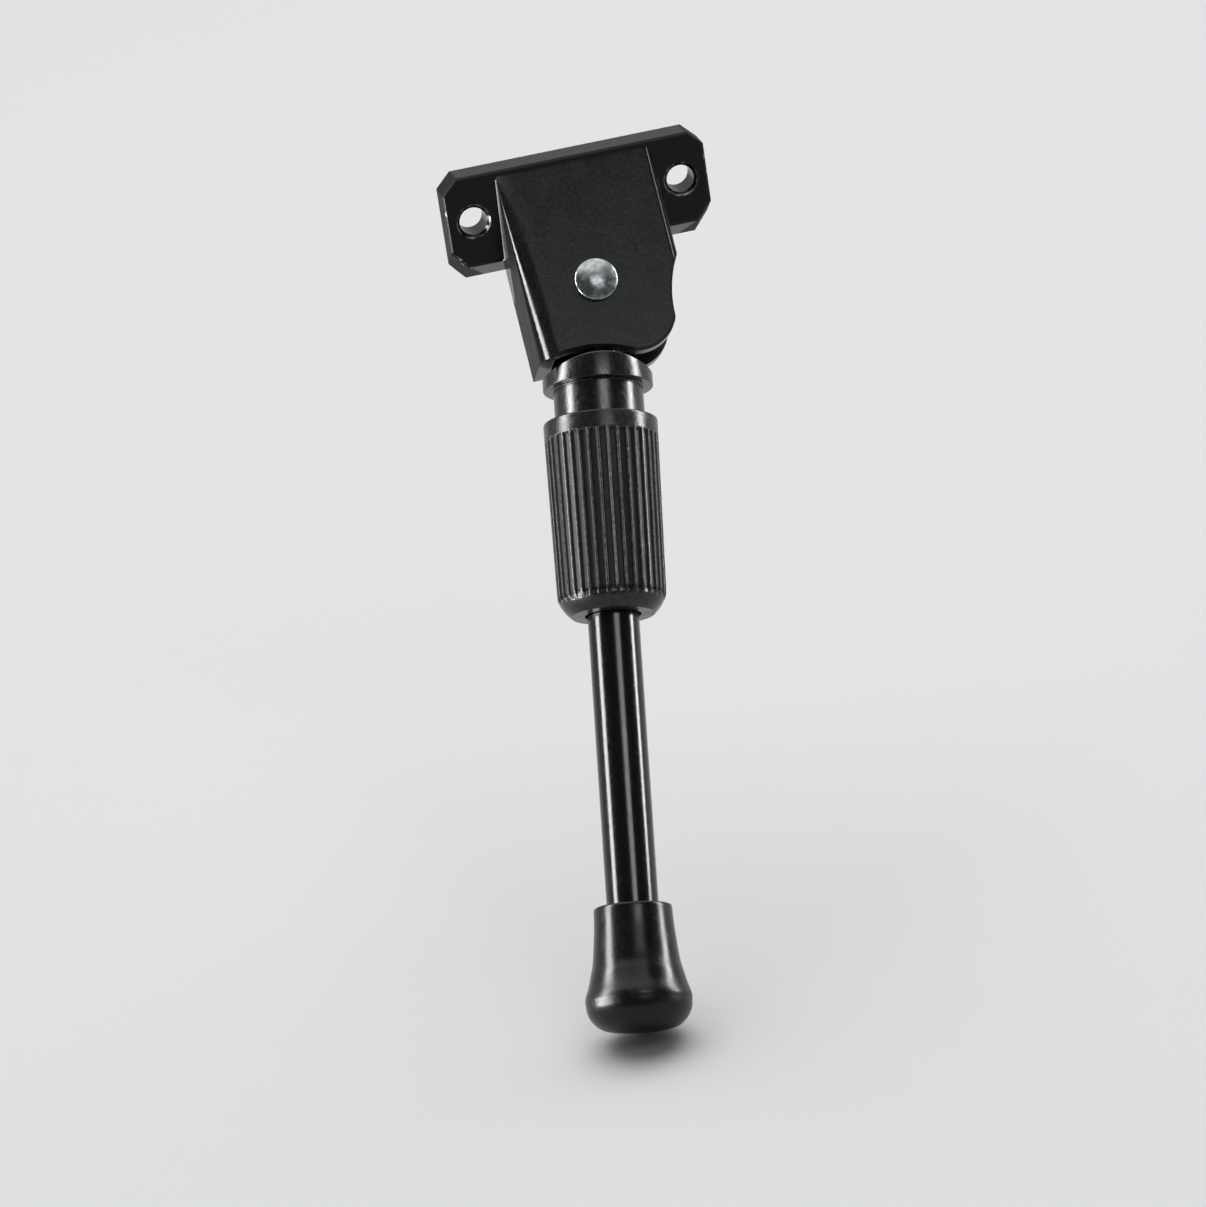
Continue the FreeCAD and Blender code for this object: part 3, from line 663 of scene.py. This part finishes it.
class KICKSTAND_OT_rivet(bpy.types.Operator):
    """Turn the plated pivot rivet"""

    bl_idname = "kickstand.rivet"
    bl_label = "Make the rivet"

    def execute(self, context):
        face, shank = 8.3, 3.0
        crown, reach, rise = 2.1, 4.25, 1.05
        dome_end, dome_steps = 3.9, 14
        rim_round, rim_foot, seat = 0.30, 0.06, 4.15
        tail_seat, tail_reach, tail_end = 4.1, 4.25, 3.5
        tail_edge, tail_side, tail_height, tail_round = 0.15, 0.55, 1.6, 0.6
        ball = (reach ** 2 + rise ** 2) / (2 * rise)

        def dome(radius):
            return radius, ball - math.sqrt(ball ** 2 - radius ** 2) - face - crown

        rim = [dome(dome_end), dome(reach), (reach, -face - rim_foot)]
        tail = [
            (tail_reach, face + tail_side), (tail_end, face + tail_height), (0, face + tail_height)]
        profile = [dome(dome_end * step / dome_steps) for step in range(dome_steps + 1)]
        profile += softened(rim, {1: rim_round})[1:]
        profile += [(seat, -face), (shank, -face), (shank, face), (tail_seat, face)]
        profile += [(tail_reach, face + tail_edge)] + softened(tail, {1: tail_round})
        made = bmesh.new()
        lathe(made, profile, segments=96)
        zinc = zinc_finish("rivet_zinc", context.scene.kickstand_finishes.zinc, smooth=0.20)
        finish_piece(made, "rivet", RIVET_FRAME, "bracket", ["pivot_rivet"], zinc)
        return {"FINISHED"}


class KICKSTAND_OT_leg_rod(bpy.types.Operator):
    """Coat the glossy rod with its pivot eye"""

    bl_idname = "kickstand.leg_rod"
    bl_label = "Coat the rod"

    def execute(self, context):
        paint = context.scene.kickstand_finishes.leg_paint
        gloss = gloss_finish("rod_gloss", paint, smooth=0.14, dull=0.20, shine=0.34)
        paint_node("leg_rod", gloss)
        return {"FINISHED"}


class KICKSTAND_OT_cam_collar(bpy.types.Operator):
    """Turn the sliding collar with its arched nose"""

    bl_idname = "kickstand.cam_collar"
    bl_label = "Make the collar"

    def execute(self, context):
        edge = context.scene.kickstand_sizes.edge_round / MM
        nose_edge = edge * 1.6
        nose, arch, arch_fade = 14.75, 20.0, 2.0
        bore, flange, neck, pocket = 5.15, 10.8, 8.8, 7.4
        flange_foot, neck_foot, pocket_top = 19.8, 38.0, 24.0
        points = [
            (bore, nose), (flange, nose), (flange, flange_foot), (neck, flange_foot),
            (neck, neck_foot), (pocket, neck_foot), (pocket, pocket_top), (bore, pocket_top)]
        profile = softened(points, {1: nose_edge, 2: edge, 3: edge, 4: edge})
        top_reach, top_steps = 10.3, 8
        top = [(bore + (top_reach - bore) * step / top_steps, nose) for step in range(1, top_steps)]
        profile = profile[:1] + top + profile[1:]

        def arched(turn, radius, depth):
            away = radius * math.cos(turn)
            fall = arch - math.sqrt(arch ** 2 - away ** 2)
            return radius, depth + fall * max(0.0, 1 - (depth - nose) / arch_fade)

        made = bmesh.new()
        lathe(made, profile, segments=160, closed=True, shape=arched)
        paint = context.scene.kickstand_finishes.leg_paint
        gloss = gloss_finish("collar_gloss", paint, smooth=0.19, dull=0.29, shine=0.45)
        finish_piece(made, "collar", LEG_FRAME, "collar", ["cam_collar"], gloss, sharp=50)
        return {"FINISHED"}


class KICKSTAND_OT_spring(bpy.types.Operator):
    """Wind the spring and finish the washer and the ring"""

    bl_idname = "kickstand.spring"
    bl_label = "Make the spring group"

    def execute(self, context):
        finishes = context.scene.kickstand_finishes
        steel = zinc_finish("spring_steel", finishes.spring_steel, smooth=0.30)
        top, low = 24.3, 60.2
        wire, mean, pitch = 0.9, 6.2, 5.2
        turn_steps, wire_sides = 48, 14
        turns = (low - top - 2 * wire) / pitch
        stations = int(turns * turn_steps)
        made = bmesh.new()
        rings = []
        for station in range(stations + 1):
            turn = 2 * math.pi * station / turn_steps
            depth = low - wire - pitch * station / turn_steps
            ring = []
            for side in range(wire_sides):
                angle = 2 * math.pi * side / wire_sides
                reach = mean + wire * math.cos(angle)
                ring.append(made.verts.new((
                    reach * math.cos(turn), reach * math.sin(turn), -depth + wire * math.sin(angle))))
            rings.append(ring)
        for one, other in zip(rings, rings[1:]):
            for side in range(wire_sides):
                after = (side + 1) % wire_sides
                made.faces.new((one[side], one[after], other[after], other[side]))
        made.faces.new(rings[0])
        made.faces.new(rings[-1])
        spring = finish_piece(
            made, "spring", LEG_FRAME, "leg", ["compression_spring"], steel)
        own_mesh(spring)
        paint_node("spring_seat_washer", zinc_finish("washer_zinc", finishes.zinc, smooth=0.28))
        paint_node("retaining_ring", steel)
        return {"FINISHED"}


class KICKSTAND_OT_grip_sleeve(bpy.types.Operator):
    """Mould the tapered sleeve with its long grooves"""

    bl_idname = "kickstand.grip_sleeve"
    bl_label = "Make the grip sleeve"

    def execute(self, context):
        sizes = context.scene.kickstand_sizes
        made = bmesh.new()
        lathe(
            made, sleeve_profile(), segments=sizes.groove_count * RIB_SEGMENTS, closed=True,
            shape=grooves(sizes.groove_count, sizes.groove_depth / MM))
        plastic = sleeve_finish(context.scene.kickstand_finishes)
        finish_piece(made, "sleeve", LEG_FRAME, "leg", ["grip_sleeve"], plastic, sharp=50)
        return {"FINISHED"}


class KICKSTAND_OT_rubber_foot(bpy.types.Operator):
    """Mould the flared foot"""

    bl_idname = "kickstand.rubber_foot"
    bl_label = "Make the foot"

    def execute(self, context):
        bore, bore_end = 5.05, 139.5
        top, sole, sole_middle = 122.4, 145.8, 4.0
        flare_steps = 6
        top_edge = [(7.25, top), (7.45, 122.5)]
        profile = [(0, bore_end), (bore, bore_end), (bore, top)] + top_edge
        profile += smooth_run(FOOT_FLARE, flare_steps)
        profile += [(sole_middle, sole), (0, sole)]
        made = bmesh.new()
        lathe(made, profile, segments=128)
        rubber = rubber_finish(context.scene.kickstand_finishes)
        finish_piece(made, "foot", LEG_FRAME, "leg", ["rubber_foot"], rubber, sharp=50)
        return {"FINISHED"}


class KICKSTAND_OT_stage(bpy.types.Operator):
    """Set the floor, the soft lights and the camera"""

    bl_idname = "kickstand.stage"
    bl_label = "Set the stage"

    def execute(self, context):
        stage = context.scene.kickstand_stage
        lay_floor(stage)
        context.scene.world = light_room(stage)
        soft_light(
            "top_box", LEG_MIDDLE, toward=(0.05, 0.25, 0.97), distance=1.5, size=(2.2, 2.2),
            power=27.0, colour=PLAIN)
        soft_light(
            "front_window", LEG_MIDDLE, toward=(0.14, -0.69, 0.71), distance=1.3, size=(0.60, 0.25),
            power=0.8, colour=COOL)
        left_strip = glint(
            "left_strip", LEG_MIDDLE, toward=(-0.869, 0.199, 0.453), distance=1.1, size=(0.34, 0.75),
            power=21.0, colour=WARM)
        right_strip = glint(
            "right_strip", LEG_MIDDLE, toward=(0.960, 0.036, 0.276), distance=1.1, size=(0.26, 0.75),
            power=17.0, colour=WARM)
        left_bend = glint(
            "left_bend", PIVOT, toward=(-0.905, -0.212, 0.371), distance=1.5, size=(0.55, 0.26),
            power=30.0, colour=PLAIN)
        right_bend = glint(
            "right_bend", PIVOT, toward=(0.79, -0.375, 0.48), distance=1.5, size=(0.30, 0.30),
            power=7.0, colour=PLAIN)
        bracket = [frame["nodes"][name] for name in BRACKET_NODES]
        for strip in (left_strip, right_strip):
            reach_pieces(strip, bracket, "EXCLUDE")
        for lamp in (left_bend, right_bend):
            reach_pieces(lamp, bracket, "INCLUDE")
        glint(
            "front_fill", PIVOT, toward=(0.15, -0.79, 0.59), distance=1.3, size=(0.40, 0.25),
            power=2.3, colour=PLAIN)
        glint(
            "low_strip", LEFT_CREASE, toward=(-0.917, -0.151, -0.371), distance=0.3, size=(0.25, 0.06),
            power=2.2, colour=PLAIN)
        context.scene.camera = aim_camera(stage)
        context.scene.view_settings.view_transform = "Standard"
        return {"FINISHED"}


def light_room(stage):
    """World that is dim in front of the part and pale behind it."""
    room = bpy.data.worlds.new("room")
    room.use_nodes = True
    tree = room.node_tree
    where = tree.nodes.new("ShaderNodeTexCoord")
    split = tree.nodes.new("ShaderNodeSeparateXYZ")
    level = tree.nodes.new("ShaderNodeMapRange")
    level.interpolation_type = "SMOOTHSTEP"
    level.inputs["From Min"].default_value = DIM_END
    level.inputs["From Max"].default_value = PALE_START
    level.inputs["To Min"].default_value = stage.room_shade
    level.inputs["To Max"].default_value = stage.room_light
    tree.links.new(where.outputs["Generated"], split.inputs["Vector"])
    tree.links.new(split.outputs["Y"], level.inputs["Value"])
    background = tree.nodes["Background"]
    background.inputs["Color"].default_value = ROOM_COLOUR
    tree.links.new(level.outputs["Result"], background.inputs["Strength"])
    return room


def lay_floor(stage):
    """Plain pale floor level with the lowest point of the part."""
    low = CAD_BOX[0][2]
    mesh = bpy.data.meshes.new("floor")
    sides = ((-1, -1), (1, -1), (1, 1), (-1, 1))
    corners = [(x * FLOOR_REACH, y * FLOOR_REACH, low) for x, y in sides]
    mesh.from_pydata(corners, [], [(0, 1, 2, 3)])
    pale = Finish("floor_pale")
    cloud = pale.noise(scale=2.5, detail=3, rough=0.5)
    pale.link(pale.blend(cloud, lighter(stage.floor_colour, 0.97), stage.floor_colour), "Base Color")
    pale.set(Roughness=0.8, Specular_IOR_Level=0.0)
    mesh.materials.append(pale.material)
    floor = bpy.data.objects.new("floor", mesh)
    bpy.context.scene.collection.objects.link(floor)


def soft_light(name, spot, toward, distance, size, power, colour):
    """Rectangular light that faces a spot of the part from a direction, with its height along the leg."""
    lamp = bpy.data.lights.new(name, "AREA")
    lamp.shape = "RECTANGLE"
    lamp.size, lamp.size_y = size
    lamp.energy = power
    lamp.color = colour
    toward = Vector(toward).normalized()
    light = bpy.data.objects.new(name, lamp)
    light.location = spot + toward * distance
    across = TO_FOOT.cross(toward).normalized()
    upward = toward.cross(across).normalized()
    light.rotation_euler = Matrix((across, upward, toward)).transposed().to_euler()
    light.visible_camera = False
    bpy.context.scene.collection.objects.link(light)
    return light


def glint(name, spot, **details):
    """Light that shows only as a reflection in the glossy coats."""
    light = soft_light(name, spot, **details)
    light.visible_diffuse = False
    return light


def reach_pieces(light, pieces, state):
    """Let a light reach only some pieces (INCLUDE), or all but those (EXCLUDE)."""
    reached = bpy.data.collections.new(light.name + "_pieces")
    for piece in pieces:
        reached.objects.link(piece)
    for row in reached.collection_objects:
        row.light_linking.link_state = state
    light.light_linking.receiver_collection = reached


def aim_camera(stage):
    """Camera at the photograph's view."""
    a, e, r = stage.azimuth, stage.elevation, stage.roll
    away = Vector((math.sin(a) * math.cos(e), -math.cos(a) * math.cos(e), math.sin(e)))
    level = Vector((math.cos(a), math.sin(a), 0))
    upright = away.cross(level)
    right = level * math.cos(r) + upright * math.sin(r)
    up = upright * math.cos(r) - level * math.sin(r)
    aim = right * AIM_RIGHT + up * AIM_UP
    lens = bpy.data.cameras.new("camera")
    lens.sensor_fit = "HORIZONTAL"
    lens.sensor_width = SENSOR_WIDTH
    lens.lens = stage.lens
    camera = bpy.data.objects.new("camera", lens)
    turn = Matrix((right, up, away)).transposed().to_4x4()
    camera.matrix_world = Matrix.Translation(aim + away * stage.distance) @ turn
    bpy.context.scene.collection.objects.link(camera)
    return camera


class KICKSTAND_PT_panel(bpy.types.Panel):
    """Lists the steps that make the kickstand"""

    bl_idname = "KICKSTAND_PT_panel"
    bl_label = "Kickstand"
    bl_space_type = "VIEW_3D"
    bl_region_type = "UI"
    bl_category = "Kickstand"

    def draw(self, context):
        for step in STEPS:
            self.layout.operator(step.bl_idname)
        for group in GROUPS:
            settings = getattr(context.scene, group)
            box = self.layout.box()
            for name in settings.__annotations__:
                box.prop(settings, name)


GROUPS = {
    "kickstand_finishes": KickstandFinishes,
    "kickstand_sizes": KickstandSizes,
    "kickstand_stage": KickstandStage,
}
STEPS = (
    KICKSTAND_OT_bracket,
    KICKSTAND_OT_rivet,
    KICKSTAND_OT_leg_rod,
    KICKSTAND_OT_cam_collar,
    KICKSTAND_OT_spring,
    KICKSTAND_OT_grip_sleeve,
    KICKSTAND_OT_rubber_foot,
    KICKSTAND_OT_stage,
)


def register():
    for kind in (*GROUPS.values(), *STEPS, KICKSTAND_PT_panel):
        bpy.utils.register_class(kind)
    for name, group in GROUPS.items():
        setattr(bpy.types.Scene, name, bpy.props.PointerProperty(type=group))


def unregister():
    for name in GROUPS:
        delattr(bpy.types.Scene, name)
    for kind in (KICKSTAND_PT_panel, *reversed(STEPS), *reversed(GROUPS.values())):
        bpy.utils.unregister_class(kind)


def main():
    """Register the classes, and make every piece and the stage."""
    register()
    bpy.ops.kickstand.bracket()
    bpy.ops.kickstand.rivet()
    bpy.ops.kickstand.leg_rod()
    bpy.ops.kickstand.cam_collar()
    bpy.ops.kickstand.spring()
    bpy.ops.kickstand.grip_sleeve()
    bpy.ops.kickstand.rubber_foot()
    bpy.ops.kickstand.stage()
    bpy.context.view_layer.update()


if __name__ == "__main__":
    main()
